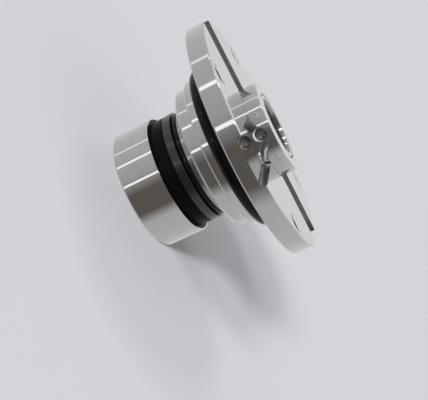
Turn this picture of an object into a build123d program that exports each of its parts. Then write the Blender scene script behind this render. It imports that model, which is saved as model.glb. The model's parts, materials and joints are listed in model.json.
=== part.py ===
"""Cartridge mechanical seal for a 35 mm pump shaft.

The shaft axis is Z. The pump side is down and the atmosphere side is up. Z = 0 is the end face
of the face holder, on which the cartridge stands. All lengths are in millimetres.
"""
from build123d import *
import math
import os

os.makedirs("parts", exist_ok=True)

# ---------------------------------------------------------------- driving dimensions
shaft_d = 35.0

# Clearances
shaft_fit = 0.025           # radial, sleeve on shaft
snug_fit = 0.03             # radial, pieces fixed to each other
thread_fit = 0.05           # radial, set screw in its tapped hole
slide_gap = 0.3             # radial, pieces that slide past each other
running_gap = 0.1           # axial, between the two lapped faces
ring_slide = 0.1            # radial, O-ring that slides on the holder's hub
elastomer_gap = 0.02        # between an O-ring and the metal that it rests on

# Shaft sleeve
sleeve_wall = 3.0
sleeve_inset = 0.5          # sleeve end above the holder end
sleeve_foot_d = 52.0
sleeve_foot_len = 5.0
shaft_ring_d = 2.6          # O-ring section
shaft_ring_land = 1.1       # sleeve end to O-ring groove

# Face holder
holder_d = 76.6
holder_len = 24.4
holder_lip = 0.9            # wall round the rotary face
holder_floor = 9.5
holder_hub_d = 50.6
holder_hub_len = 26.0
holder_chamfer = 0.8

# Springs and pins in the holder
spring_count = 6
drive_pin_count = 3         # as many springs stand between each pin and the next
spring_d = 6.0
spring_wire = 1.0
spring_turns = 5
spring_len = 9.0
spring_sink = 4.0           # depth of each spring's bore in the holder floor
spring_bore_gap = 0.3
drive_pin_d = 4.0
drive_pin_seat = 4.0
drive_pin_reach = 8.5
drive_pin_gap = 0.4
dowel_d = 2.5
dowel_len = 6.0
dowel_sink = 2.6            # depth of each dowel in the sleeve foot
dowel_count = 2
pin_chamfer = 0.3           # on the ends of every pin and dowel

# Rotary face
face_show = 8.4             # length that stands out of the holder
thrust_t = 2.0
face_bevel = 0.8            # outer edge of the lapped face
face_step = 1.6             # relief at the inner edge of the lapped face
face_ring_d = 3.0           # O-ring section
face_ring_drop = 3.4        # hub end to O-ring centre
face_travel = 2.0

# Stationary seat
seat_d = 71.2
seat_head = 5.3
seat_tail_d = 62.0
seat_tail = 18.6
seat_bore_d = 47.0
seat_ring_d = 3.5           # O-ring section
seat_edge = 0.3
seat_pin_d = 3.0
seat_pin_seat = 3.2
seat_pin_reach = 2.4
seat_pin_count = 2
seat_slot_gap = 0.2

# Gland plate
nose_d = 67.5
nose_len = 4.8
register_d = 90.0
register_len = 8.2
register_chamfer = 1.5
pilot_d = 96.0
pilot_land = 5.2
pilot_chamfer = 0.8
gland_ring_d = 6.0          # O-ring section
gland_ring_bed_d = 92.0
pilot_back = 5.4
flange_d = 150.0
flange_t = 12.0
flange_chamfer = 0.7
channel_w = 23.0            # narrow channel, along X
relief_w = 29.8             # wide channel, along Y
relief_shift = 2.0          # middle of the wide channel from the shaft axis, towards -X
relief_corner = 2.6         # radius between its floor and its walls
channel_depth = 3.3
bolt_edge = 9.0             # flange rim to bolt circle
bolt_hole_d = 11.0
bolt_count = 4
seat_stop_t = 5.0
seat_stop_d = 48.0
collar_gap = 0.6            # radial, collar in its pocket
collar_pocket_floor = 6.0   # below the flange face

# Throttle bush
bush_d = 56.0
bush_len = 9.0
bush_gap = 0.4              # radial, bush round sleeve
bush_chamfer = 0.5

# Retaining rings
clip_t = 1.1
clip_play = 0.05
clip_depth = 1.4            # depth of a ring in its groove
clip_width = 2.7
clip_opening = 34.0         # degrees
clip_lug_d = 4.4
clip_lug_eye_d = 1.6

# Drive collar and its set screws
collar_d = 58.2
collar_proud = 9.6
collar_sink = 4.5           # collar end below the flange face
collar_chamfer = 0.4
collar_recess = 1.9
collar_recess_gap = 0.7     # radial, recess round its retaining ring
sleeve_end_drop = 0.1       # sleeve end below the collar face
screw_count = 3
screw_turn = -99.0          # direction of the first set screw, degrees from +X
screw_drop = 7.65           # collar face to set screw axis
screw_d = 5.9
screw_len = 6.6
screw_mouth_d = 9.6
screw_mouth_angle = 90.0
screw_tip_start = 0.5       # set screw point outside the sleeve
screw_key = 3.0             # across the flats of the socket
screw_key_depth = 3.2
screw_point_d = 3.4
screw_head_chamfer = 0.4

# ---------------------------------------------------------------- radii that follow
sleeve_in = shaft_d / 2 + shaft_fit
sleeve_out = sleeve_in + sleeve_wall
sleeve_clip_bed = sleeve_out - clip_depth
collar_clip_in = sleeve_clip_bed + snug_fit
collar_clip_out = collar_clip_in + clip_width
holder_out = holder_d / 2
holder_cavity = holder_out - holder_lip
holder_hub = holder_hub_d / 2
station_r = (holder_hub + holder_cavity) / 2
dowel_r = (sleeve_out + sleeve_foot_d / 2) / 2
face_out = holder_cavity - slide_gap
face_in = holder_hub + slide_gap
seat_out = seat_d / 2
seat_tail_out = seat_tail_d / 2
seat_in = seat_bore_d / 2
seat_pin_r = (seat_in + seat_tail_out) / 2
seat_pocket = seat_tail_out + slide_gap
collar_out = collar_d / 2
collar_pocket = collar_out + collar_gap
collar_recess_out = collar_clip_out + collar_recess_gap
flange_out = flange_d / 2
bolt_r = flange_out - bolt_edge
pilot_out = pilot_d / 2
register_out = register_d / 2

# ---------------------------------------------------------------- levels that follow
z_foot = sleeve_inset + sleeve_foot_len
z_spring = holder_floor - spring_sink
z_thrust = z_spring + spring_len
z_face_back = z_thrust + thrust_t
z_mouth = holder_len
z_face = z_mouth + face_show
z_seat = z_face + running_gap
z_shoulder = z_seat + seat_head
z_nose = z_shoulder + seat_ring_d + 2 * elastomer_gap
z_register = z_nose + nose_len
z_pilot = z_register + register_len
z_ring_bed = z_pilot + pilot_land
ring_bed_w = gland_ring_d + 2 * elastomer_gap
z_back = z_ring_bed + ring_bed_w + pilot_back
z_front = z_back + flange_t
z_collar = z_front + collar_proud
z_collar_end = z_front - collar_sink
z_seat_end = z_shoulder + seat_tail
z_stop = z_seat_end + slide_gap
z_bush = z_stop + seat_stop_t
z_bush_clip = z_bush + bush_len + 2 * clip_play
z_sleeve_end = z_collar - sleeve_end_drop
z_recess = z_collar - collar_recess
z_screw = z_collar - screw_drop

# ---------------------------------------------------------------- places round the holder
station_count = spring_count + drive_pin_count
pin_step = station_count // drive_pin_count
spring_stations = [number for number in range(station_count) if number % pin_step]


def station_angle(index):
    """Direction of one of the places round the holder, in degrees."""
    return index * 360 / station_count


def polar(radius, degrees, height):
    """Point at a radius and a direction round the shaft axis."""
    turn = math.radians(degrees)
    return Vector(radius * math.cos(turn), radius * math.sin(turn), height)


def screw_plane(index):
    """Plane on the collar's surface, with its normal along one set screw, outwards."""
    degrees = screw_turn + index * 360 / screw_count
    return Plane(origin=polar(collar_out, degrees, z_screw), z_dir=polar(1, degrees, 0))


# ---------------------------------------------------------------- shaft sleeve
shaft_bed = sleeve_in + shaft_ring_d + elastomer_gap + shaft_fit
shaft_bed_w = shaft_ring_d + 2 * elastomer_gap
z_shaft_bed = sleeve_inset + shaft_ring_land

with BuildPart() as shaft_sleeve:
    with BuildSketch(Plane.XZ):
        with BuildLine():
            Polyline(
                (sleeve_in, sleeve_inset),
                (sleeve_foot_d / 2, sleeve_inset),
                (sleeve_foot_d / 2, z_foot),
                (sleeve_out, z_foot),
                (sleeve_out, z_recess),
                (sleeve_clip_bed, z_recess),
                (sleeve_clip_bed, z_recess + clip_t + 2 * clip_play),
                (sleeve_out, z_recess + clip_t + 2 * clip_play),
                (sleeve_out, z_sleeve_end),
                (sleeve_in, z_sleeve_end),
                (sleeve_in, z_shaft_bed + shaft_bed_w),
                (shaft_bed, z_shaft_bed + shaft_bed_w),
                (shaft_bed, z_shaft_bed),
                (sleeve_in, z_shaft_bed),
                close=True,
            )
        make_face()
    revolve(axis=Axis.Z)
    with BuildSketch(Plane.XY.offset(z_foot)):
        with PolarLocations(dowel_r, dowel_count):
            Circle(dowel_d / 2 + snug_fit)
    extrude(amount=-dowel_sink, mode=Mode.SUBTRACT)
    for number in range(screw_count):
        with BuildSketch(screw_plane(number)):
            Circle(screw_d / 2 + thread_fit)
        extrude(amount=-(collar_out - sleeve_in / 2), mode=Mode.SUBTRACT)
shaft_sleeve.part.label = "shaft_sleeve"
export_step(shaft_sleeve.part, "parts/shaft_sleeve.step")

with BuildPart() as shaft_o_ring:
    with BuildSketch(Plane.XZ):
        with Locations((sleeve_in + shaft_fit + shaft_ring_d / 2, z_shaft_bed + shaft_bed_w / 2)):
            Circle(shaft_ring_d / 2)
    revolve(axis=Axis.Z)
shaft_o_ring.part.label = "shaft_o_ring"
export_step(shaft_o_ring.part, "parts/shaft_o_ring.step")

# ---------------------------------------------------------------- face holder
foot_bed = sleeve_foot_d / 2 + snug_fit
hub_bore = sleeve_out + snug_fit

with BuildPart() as face_holder:
    with BuildSketch(Plane.XZ):
        with BuildLine():
            Polyline(
                (foot_bed, 0),
                (holder_out - holder_chamfer, 0),
                (holder_out, holder_chamfer),
                (holder_out, z_mouth),
                (holder_cavity, z_mouth),
                (holder_cavity, holder_floor),
                (holder_hub, holder_floor),
                (holder_hub, holder_hub_len),
                (hub_bore, holder_hub_len),
                (hub_bore, z_foot + snug_fit),
                (foot_bed, z_foot + snug_fit),
                close=True,
            )
        make_face()
    revolve(axis=Axis.Z)
    with BuildSketch(Plane.XY.offset(z_foot)):
        with PolarLocations(dowel_r, dowel_count):
            Circle(dowel_d / 2 + snug_fit)
    extrude(amount=dowel_len - dowel_sink + snug_fit, mode=Mode.SUBTRACT)
    with BuildSketch(Plane.XY.offset(holder_floor)):
        with PolarLocations(station_r, drive_pin_count):
            Circle(drive_pin_d / 2 + snug_fit)
    extrude(amount=-drive_pin_seat, mode=Mode.SUBTRACT)
    with BuildSketch(Plane.XY.offset(holder_floor)):
        with Locations(*[polar(station_r, station_angle(number), 0) for number in spring_stations]):
            Circle(spring_d / 2 + spring_bore_gap)
    extrude(amount=-spring_sink, mode=Mode.SUBTRACT)
face_holder.part.label = "face_holder"
export_step(face_holder.part, "parts/face_holder.step")

for number in range(dowel_count):
    with BuildPart() as drive_dowel:
        with BuildSketch(Plane.XY.offset(z_foot - dowel_sink)):
            with Locations(polar(dowel_r, number * 360 / dowel_count, 0)):
                Circle(dowel_d / 2)
        extrude(amount=dowel_len)
        chamfer(drive_dowel.edges(), length=pin_chamfer)
    drive_dowel.part.label = f"drive_dowel_{number + 1}"
    export_step(drive_dowel.part, f"parts/drive_dowel_{number + 1}.step")

for number in range(drive_pin_count):
    with BuildPart() as drive_pin:
        with BuildSketch(Plane.XY.offset(holder_floor - drive_pin_seat)):
            with Locations(polar(station_r, station_angle(pin_step * number), 0)):
                Circle(drive_pin_d / 2)
        extrude(amount=drive_pin_seat + drive_pin_reach)
        chamfer(drive_pin.edges(), length=pin_chamfer)
    drive_pin.part.label = f"drive_pin_{number + 1}"
    export_step(drive_pin.part, f"parts/drive_pin_{number + 1}.step")

# ---------------------------------------------------------------- springs
coil_r = (spring_d - spring_wire) / 2

for count, number in enumerate(spring_stations, start=1):
    foot = polar(station_r, station_angle(number), z_spring)
    with BuildPart() as spring:
        with BuildLine(Plane(origin=foot)) as coil:
            Helix(pitch=spring_len / spring_turns, height=spring_len, radius=coil_r)
        with BuildSketch(Plane(origin=coil.line @ 0, z_dir=coil.line % 0)):
            Circle(spring_wire / 2)
        sweep(path=coil.line, is_frenet=True)
        # The ends of the coil are ground flat
        with Locations(foot):
            Cylinder(
                spring_d,
                spring_len,
                align=(Align.CENTER, Align.CENTER, Align.MIN),
                mode=Mode.INTERSECT,
            )
    spring.part.label = f"spring_{count}"
    export_step(spring.part, f"parts/spring_{count}.step")

# ---------------------------------------------------------------- thrust ring and rotary face
with BuildPart() as thrust_ring:
    with BuildSketch(Plane.XY.offset(z_thrust)):
        Circle(face_out)
        Circle(face_in, mode=Mode.SUBTRACT)
        with PolarLocations(station_r, drive_pin_count):
            Circle(drive_pin_d / 2 + drive_pin_gap, mode=Mode.SUBTRACT)
    extrude(amount=thrust_t)
thrust_ring.part.label = "thrust_ring"
export_step(thrust_ring.part, "parts/thrust_ring.step")

z_face_ring = holder_hub_len - face_ring_drop
face_bed_w = face_ring_d + 2 * elastomer_gap
face_bed = holder_hub + ring_slide + face_ring_d + elastomer_gap

with BuildPart() as rotary_face:
    with BuildSketch(Plane.XZ):
        with BuildLine():
            Polyline(
                (face_in, z_face_back),
                (face_out, z_face_back),
                (face_out, z_face - face_bevel),
                (face_out - face_bevel, z_face),
                (face_in + face_step, z_face),
                (face_in + face_step, z_face - face_step),
                (face_in, z_face - face_step),
                (face_in, z_face_ring + face_bed_w / 2),
                (face_bed, z_face_ring + face_bed_w / 2),
                (face_bed, z_face_ring - face_bed_w / 2),
                (face_in, z_face_ring - face_bed_w / 2),
                close=True,
            )
        make_face()
    revolve(axis=Axis.Z)
    with BuildSketch(Plane.XY.offset(z_face_back)):
        with PolarLocations(station_r, drive_pin_count):
            Circle(drive_pin_d / 2 + drive_pin_gap)
    extrude(
        amount=holder_floor + drive_pin_reach + face_travel + slide_gap - z_face_back,
        mode=Mode.SUBTRACT,
    )
rotary_face.part.label = "rotary_face"
export_step(rotary_face.part, "parts/rotary_face.step")

with BuildPart() as face_o_ring:
    with BuildSketch(Plane.XZ):
        with Locations((holder_hub + ring_slide + face_ring_d / 2, z_face_ring)):
            Circle(face_ring_d / 2)
    revolve(axis=Axis.Z)
face_o_ring.part.label = "face_o_ring"
export_step(face_o_ring.part, "parts/face_o_ring.step")

# ---------------------------------------------------------------- stationary seat
with BuildPart() as stationary_seat:
    with BuildSketch(Plane.XZ):
        with BuildLine():
            Polyline(
                (seat_in, z_seat),
                (seat_out - seat_edge, z_seat),
                (seat_out, z_seat + seat_edge),
                (seat_out, z_shoulder - seat_edge),
                (seat_out - seat_edge, z_shoulder),
                (seat_tail_out, z_shoulder),
                (seat_tail_out, z_seat_end - seat_edge),
                (seat_tail_out - seat_edge, z_seat_end),
                (seat_in, z_seat_end),
                close=True,
            )
        make_face()
    revolve(axis=Axis.Z)
    with BuildSketch(Plane.XY.offset(z_seat_end)):
        with PolarLocations(seat_pin_r, seat_pin_count):
            SlotCenterToCenter(seat_tail_out - seat_in, seat_pin_d + 2 * seat_slot_gap)
    extrude(amount=-(seat_pin_reach + slide_gap), mode=Mode.SUBTRACT)
stationary_seat.part.label = "stationary_seat"
export_step(stationary_seat.part, "parts/stationary_seat.step")

with BuildPart() as seat_o_ring:
    with BuildSketch(Plane.XZ):
        with Locations(
            (
                seat_tail_out + elastomer_gap + seat_ring_d / 2,
                z_shoulder + elastomer_gap + seat_ring_d / 2,
            )
        ):
            Circle(seat_ring_d / 2)
    revolve(axis=Axis.Z)
seat_o_ring.part.label = "seat_o_ring"
export_step(seat_o_ring.part, "parts/seat_o_ring.step")

for number in range(seat_pin_count):
    with BuildPart() as seat_pin:
        with BuildSketch(Plane.XY.offset(z_seat_end - seat_pin_reach)):
            with Locations(polar(seat_pin_r, number * 360 / seat_pin_count, 0)):
                Circle(seat_pin_d / 2)
        extrude(amount=seat_pin_reach + slide_gap + seat_pin_seat)
        chamfer(seat_pin.edges(), length=pin_chamfer)
    seat_pin.part.label = f"seat_pin_{number + 1}"
    export_step(seat_pin.part, f"parts/seat_pin_{number + 1}.step")

# ---------------------------------------------------------------- gland plate
bush_out = bush_d / 2
bush_pocket = bush_out + snug_fit
bush_clip_bed = bush_pocket + clip_depth
z_clip_end = z_bush_clip + clip_t + 2 * clip_play
z_collar_pocket = z_front - collar_pocket_floor
ring_bed = gland_ring_bed_d / 2

with BuildPart() as gland_plate:
    with BuildSketch(Plane.XZ):
        with BuildLine():
            Polyline(
                (seat_pocket, z_nose),
                (nose_d / 2, z_nose),
                (nose_d / 2, z_register),
                (register_out - register_chamfer, z_register),
                (register_out, z_register + register_chamfer),
                (register_out, z_pilot),
                (pilot_out - pilot_chamfer, z_pilot),
                (pilot_out, z_pilot + pilot_chamfer),
                (pilot_out, z_ring_bed),
                (ring_bed, z_ring_bed),
                (ring_bed, z_ring_bed + ring_bed_w),
                (pilot_out, z_ring_bed + ring_bed_w),
                (pilot_out, z_back),
                (flange_out - flange_chamfer, z_back),
                (flange_out, z_back + flange_chamfer),
                (flange_out, z_front - flange_chamfer),
                (flange_out - flange_chamfer, z_front),
                (collar_pocket, z_front),
                (collar_pocket, z_collar_pocket),
                (bush_pocket, z_collar_pocket),
                (bush_pocket, z_clip_end),
                (bush_clip_bed, z_clip_end),
                (bush_clip_bed, z_bush_clip),
                (bush_pocket, z_bush_clip),
                (bush_pocket, z_bush),
                (seat_stop_d / 2, z_bush),
                (seat_stop_d / 2, z_stop),
                (seat_pocket, z_stop),
                close=True,
            )
        make_face()
    revolve(axis=Axis.Z)
    # Two channels cross at the shaft and run out through the rim
    with BuildSketch(Plane.XY.offset(z_front)):
        Rectangle(2 * flange_d, channel_w)
    extrude(amount=-channel_depth, mode=Mode.SUBTRACT)
    with BuildSketch(Plane.XZ) as relief:
        with Locations((-relief_shift, z_front)):
            Rectangle(relief_w, 2 * channel_depth)
        fillet(relief.vertices(), radius=relief_corner)
    extrude(amount=flange_d, both=True, mode=Mode.SUBTRACT)
    # The bolt holes stand half a pitch from X, between the channels
    with BuildSketch(Plane.XY.offset(z_front)):
        with PolarLocations(bolt_r, bolt_count, start_angle=180 / bolt_count):
            Circle(bolt_hole_d / 2)
    extrude(amount=-flange_t, mode=Mode.SUBTRACT)
    with BuildSketch(Plane.XY.offset(z_stop)):
        with PolarLocations(seat_pin_r, seat_pin_count):
            Circle(seat_pin_d / 2 + snug_fit)
    extrude(amount=seat_pin_seat + snug_fit, mode=Mode.SUBTRACT)
gland_plate.part.label = "gland_plate"
export_step(gland_plate.part, "parts/gland_plate.step")

with BuildPart() as gland_o_ring:
    with BuildSketch(Plane.XZ):
        with Locations((ring_bed + elastomer_gap + gland_ring_d / 2, z_ring_bed + ring_bed_w / 2)):
            Circle(gland_ring_d / 2)
    revolve(axis=Axis.Z)
gland_o_ring.part.label = "gland_o_ring"
export_step(gland_o_ring.part, "parts/gland_o_ring.step")

# ---------------------------------------------------------------- throttle bush and its ring
with BuildPart() as throttle_bush:
    with BuildSketch(Plane.XY.offset(z_bush + clip_play)):
        Circle(bush_out)
        Circle(sleeve_out + bush_gap, mode=Mode.SUBTRACT)
    extrude(amount=bush_len)
    chamfer(throttle_bush.edges().group_by(Axis.Z)[-1], length=bush_chamfer)
throttle_bush.part.label = "throttle_bush"
export_step(throttle_bush.part, "parts/throttle_bush.step")

bush_clip_out = bush_clip_bed - snug_fit
bush_clip_in = bush_clip_out - clip_width

with BuildPart() as bush_clip:
    with BuildSketch(Plane.XY.offset(z_bush_clip + clip_play)):
        Circle(bush_clip_out)
        Circle(bush_clip_in, mode=Mode.SUBTRACT)
        with BuildLine():
            Polyline(
                (0, 0),
                polar(flange_out, -clip_opening / 2, 0),
                polar(flange_out, clip_opening / 2, 0),
                close=True,
            )
        make_face(mode=Mode.SUBTRACT)
        for side in (-1, 1):
            with Locations(polar(bush_clip_in, side * clip_opening / 2, 0)):
                Circle(clip_lug_d / 2)
                Circle(clip_lug_eye_d / 2, mode=Mode.SUBTRACT)
        Circle(bush_clip_out, mode=Mode.INTERSECT)
    extrude(amount=clip_t)
bush_clip.part.label = "bush_clip"
export_step(bush_clip.part, "parts/bush_clip.step")

# ---------------------------------------------------------------- drive collar
collar_bore = sleeve_out + snug_fit

with BuildPart() as drive_collar:
    with BuildSketch(Plane.XZ):
        with BuildLine():
            Polyline(
                (collar_bore, z_collar_end),
                (collar_out - collar_chamfer, z_collar_end),
                (collar_out, z_collar_end + collar_chamfer),
                (collar_out, z_collar - collar_chamfer),
                (collar_out - collar_chamfer, z_collar),
                (collar_recess_out, z_collar),
                (collar_recess_out, z_recess),
                (collar_bore, z_recess),
                close=True,
            )
        make_face()
    revolve(axis=Axis.Z)
    for number in range(screw_count):
        with Locations(screw_plane(number)):
            CounterSinkHole(
                radius=screw_d / 2 + thread_fit,
                counter_sink_radius=screw_mouth_d / 2,
                depth=collar_out - sleeve_out / 2,
                counter_sink_angle=screw_mouth_angle,
            )
drive_collar.part.label = "drive_collar"
export_step(drive_collar.part, "parts/drive_collar.step")

with BuildPart() as collar_clip:
    with BuildSketch(Plane.XY.offset(z_recess + clip_play)):
        Circle(collar_clip_out)
        Circle(collar_clip_in, mode=Mode.SUBTRACT)
        with BuildLine():
            Polyline(
                (0, 0),
                polar(flange_out, -clip_opening / 2, 0),
                polar(flange_out, clip_opening / 2, 0),
                close=True,
            )
        make_face(mode=Mode.SUBTRACT)
    extrude(amount=clip_t)
collar_clip.part.label = "collar_clip"
export_step(collar_clip.part, "parts/collar_clip.step")

# ---------------------------------------------------------------- set screws
screw_sink = collar_out - sleeve_out - screw_tip_start - screw_len

for number in range(screw_count):
    outwards = Axis(screw_plane(number).origin, screw_plane(number).z_dir)
    with BuildPart() as set_screw:
        with BuildSketch(screw_plane(number).offset(-screw_sink)):
            Circle(screw_d / 2)
        extrude(amount=-screw_len)
        rims = set_screw.edges().filter_by(GeomType.CIRCLE).sort_by(outwards)
        chamfer(rims[0], length=(screw_d - screw_point_d) / 2)
        rims = set_screw.edges().filter_by(GeomType.CIRCLE).sort_by(outwards)
        chamfer(rims[-1], length=screw_head_chamfer)
        with BuildSketch(screw_plane(number).offset(-screw_sink)):
            RegularPolygon(radius=screw_key / 2, side_count=6, major_radius=False)
        extrude(amount=-screw_key_depth, mode=Mode.SUBTRACT)
    set_screw.part.label = f"set_screw_{number + 1}"
    export_step(set_screw.part, f"parts/set_screw_{number + 1}.step")
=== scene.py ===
"""Looks of the cartridge mechanical seal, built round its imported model.

The shaft axis is Z, the pump side is down, and the cartridge stands on its face holder at Z = 0. Lengths are
in metres. Turned pieces are revolved from half sections, given their cuts, and shaded with the normals of
true surfaces of revolution. The small pins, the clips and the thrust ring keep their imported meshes.
"""
from __future__ import annotations

import json
import logging
import math
from dataclasses import dataclass, field
from enum import Enum, IntEnum
from typing import Iterable, Sequence

import bmesh
import bpy
from mathutils import Matrix, Vector

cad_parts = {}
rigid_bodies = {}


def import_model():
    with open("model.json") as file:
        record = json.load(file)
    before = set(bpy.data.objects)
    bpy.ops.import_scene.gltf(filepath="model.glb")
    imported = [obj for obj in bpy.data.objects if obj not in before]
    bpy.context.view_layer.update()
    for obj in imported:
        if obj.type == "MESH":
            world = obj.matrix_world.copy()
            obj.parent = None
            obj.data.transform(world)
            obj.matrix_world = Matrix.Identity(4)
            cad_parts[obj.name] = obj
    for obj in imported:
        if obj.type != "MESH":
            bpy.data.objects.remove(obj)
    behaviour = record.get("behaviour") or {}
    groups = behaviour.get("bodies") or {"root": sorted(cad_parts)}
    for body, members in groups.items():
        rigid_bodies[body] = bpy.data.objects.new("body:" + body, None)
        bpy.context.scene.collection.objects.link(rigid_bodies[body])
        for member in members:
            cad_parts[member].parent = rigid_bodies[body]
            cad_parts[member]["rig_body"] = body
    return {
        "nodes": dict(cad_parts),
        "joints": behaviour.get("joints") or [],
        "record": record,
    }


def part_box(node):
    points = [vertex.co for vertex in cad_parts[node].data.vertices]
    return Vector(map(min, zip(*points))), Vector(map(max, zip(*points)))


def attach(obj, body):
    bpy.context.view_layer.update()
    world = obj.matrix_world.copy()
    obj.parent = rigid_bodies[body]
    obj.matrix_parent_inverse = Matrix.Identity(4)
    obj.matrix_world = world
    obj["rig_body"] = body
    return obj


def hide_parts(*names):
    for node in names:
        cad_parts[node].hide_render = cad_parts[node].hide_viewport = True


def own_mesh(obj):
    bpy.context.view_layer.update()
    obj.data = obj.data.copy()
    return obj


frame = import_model()
LOG = logging.getLogger("seal")

Point = tuple[float, float]
Color = tuple[float, float, float]
UP = Vector((0, 0, 1))
STEPS = 288                 # facets round a turned piece
HOLE_STEPS = 48             # facets round a drilled hole
BREAK = 0.00018             # edge break of machined corners
FINE_BREAK = 0.0001         # edge break of the collar, the bush and the rotary face
GROUND_BREAK = 0.00008      # edge break of the seat
BREAK_STEPS = 3
BREAK_SHARE = 0.4           # most of an edge that one break may take
MERGE = 1e-7                # points closer than this are one
SNUG = 0.00003              # radial clearance of pieces fixed to each other
PLAY = 0.00005              # axial clearance of a ring in its groove
PAST = 0.0001               # how far a drill passes the surface that it opens
DEEP = 0.001                # how far a cutter reaches into open space
RING_GAP = 0.00002          # between an O-ring and its groove
SHARP = math.radians(32)    # corners sharper than this keep their edge in the shading
ROUND = math.radians(2)     # how far a turned face may stray from the direction of its radius
LEVEL = 0.001               # sideways part of the normals of a level face, at most
CURVED = (0.1, 0.98)        # upright part of the normals on a milled round corner
WALL_SLOPE = 0.5            # upright part of the normals of a milled wall, at most
CORNER_STEPS = 8            # facets of a milled corner
SLOT_STEPS = 12             # facets of a slot's round end
THREAD_STEPS = 40           # facets round a thread
PITCH_ROWS = 10             # rings of points along one pitch of a thread
WIRE_STEPS = 16             # facets round a spring's wire
COIL_STEPS = 36             # rings of points along one coil of a spring


# ------------------------------------------------------------------------------------------------ places
@dataclass(frozen=True)
class Place:
    """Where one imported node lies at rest."""

    low: Vector
    high: Vector

    @classmethod
    def of(cls, node: str) -> "Place":
        """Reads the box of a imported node."""
        low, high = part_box(node)
        return cls(low, high)

    @property
    def radius(self) -> float:
        """Outer radius of a piece that is round about the shaft axis."""
        return self.high.x

    @property
    def centre(self) -> Vector:
        """Middle of the box."""
        return (self.low + self.high) / 2

    @property
    def height(self) -> float:
        """Extent along the shaft axis."""
        return self.high.z - self.low.z


def mount(name: str) -> dict:
    """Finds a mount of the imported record.

    Args:
        name: The mount's name.

    Returns:
        The mount as the record states it.
    """
    return next(entry for entry in frame["record"]["mounts"] if entry["name"] == name)


# ------------------------------------------------------------------------------------------------ mesh work
def broken(outline: Sequence[Point], size: float = BREAK) -> list[Point]:
    """Rounds the corners of a closed half section by a small edge break.

    Args:
        outline: Corners of the section as radius and height.
        size: How far each break reaches along its edges.

    Returns:
        The section with each corner as a short arc.
    """
    made: list[Point] = []
    for index, corner in enumerate(outline):
        here = Vector(corner)
        before = Vector(outline[index - 1]) - here
        after = Vector(outline[(index + 1) % len(outline)]) - here
        reach = min(size, before.length * BREAK_SHARE, after.length * BREAK_SHARE)
        start = here + before.normalized() * reach
        end = here + after.normalized() * reach
        for step in range(BREAK_STEPS + 1):
            share = step / BREAK_STEPS
            point = start * (1 - share) ** 2 + here * 2 * share * (1 - share) + end * share**2
            made.append((point.x, point.y))
    return made


def circle(radius: float, height: float, section: float, steps: int = 40) -> list[Point]:
    """Round section of a ring.

    Args:
        radius: Shaft axis to the middle of the section.
        height: Height of the middle of the section.
        section: Diameter of the section.
        steps: Number of points.

    Returns:
        The points of the section.
    """
    turns = [2 * math.pi * step / steps for step in range(steps)]
    return [(radius + section / 2 * math.cos(t), height + section / 2 * math.sin(t)) for t in turns]


def turned(name: str, outline: Sequence[Point], steps: int = STEPS) -> bpy.types.Object:
    """Revolves a closed half section about Z.

    Args:
        name: Name of the new piece.
        outline: Points of the section as radius and height.
        steps: Facets round the axis.

    Returns:
        The new piece.
    """
    made = bmesh.new()
    rings = []
    for step in range(steps):
        turn = 2 * math.pi * (step + 0.5) / steps
        rings.append([made.verts.new((r * math.cos(turn), r * math.sin(turn), z)) for r, z in outline])
    for step, ring in enumerate(rings):
        after = rings[(step + 1) % steps]
        for index in range(len(outline)):
            made.faces.new((ring[index - 1], after[index - 1], after[index], ring[index]))
    bmesh.ops.remove_doubles(made, verts=made.verts, dist=MERGE)
    bmesh.ops.recalc_face_normals(made, faces=made.faces)
    return as_piece(name, made)


def as_piece(name: str, made: bmesh.types.BMesh) -> bpy.types.Object:
    """Turns a finished bmesh into an object of the scene.

    Args:
        name: Name of the new piece.
        made: Its geometry, which is freed.

    Returns:
        The new piece, smooth shaded.
    """
    mesh = bpy.data.meshes.new(name)
    made.to_mesh(mesh)
    made.free()
    mesh.shade_smooth()
    piece = bpy.data.objects.new(name, mesh)
    bpy.context.scene.collection.objects.link(piece)
    return piece


def drill(centre: Vector, outline: Sequence[Point], slot: int = 0) -> bpy.types.Object:
    """Round cutter about an upright axis.

    Args:
        centre: Point on its axis.
        outline: Its half section as radius and height.
        slot: Index of the material that its walls get.

    Returns:
        The cutter.
    """
    cutter = turned("cutter", outline, HOLE_STEPS)
    cutter.data.transform(Matrix.Translation((centre.x, centre.y, 0)))
    for face in cutter.data.polygons:
        face.material_index = slot
    return cutter


def rod(centre: Vector, radius: float, low: float, high: float) -> bpy.types.Object:
    """Upright round cutter with a straight wall.

    Args:
        centre: Point on its axis.
        radius: Radius of the hole that it leaves.
        low: Lower end.
        high: Upper end.

    Returns:
        The cutter.
    """
    return drill(centre, [(0, low), (radius, low), (radius, high), (0, high)])


def pin_hole(pin: Place, low: float, high: float, room: float = SNUG) -> bpy.types.Object:
    """Cutter of the hole that an upright pin or spring stands in.

    Args:
        pin: The piece that stands in the hole.
        low: Lower end of the hole.
        high: Upper end of the hole.
        room: Radial clearance.

    Returns:
        The cutter.
    """
    return rod(pin.centre, (pin.high.x - pin.low.x) / 2 + room, low, high)


def prism(section: Sequence[Point], low: float, high: float) -> bpy.types.Object:
    """Upright cutter with straight walls.

    Args:
        section: Its corners as x and y, anticlockwise.
        low: Lower end.
        high: Upper end.

    Returns:
        The cutter.
    """
    made = bmesh.new()
    base = [made.verts.new((x, y, low)) for x, y in section]
    top = [made.verts.new((x, y, high)) for x, y in section]
    made.faces.new(base[::-1])
    made.faces.new(top)
    for index in range(len(section)):
        made.faces.new((base[index - 1], base[index], top[index], top[index - 1]))
    return as_piece("cutter", made)


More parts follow.
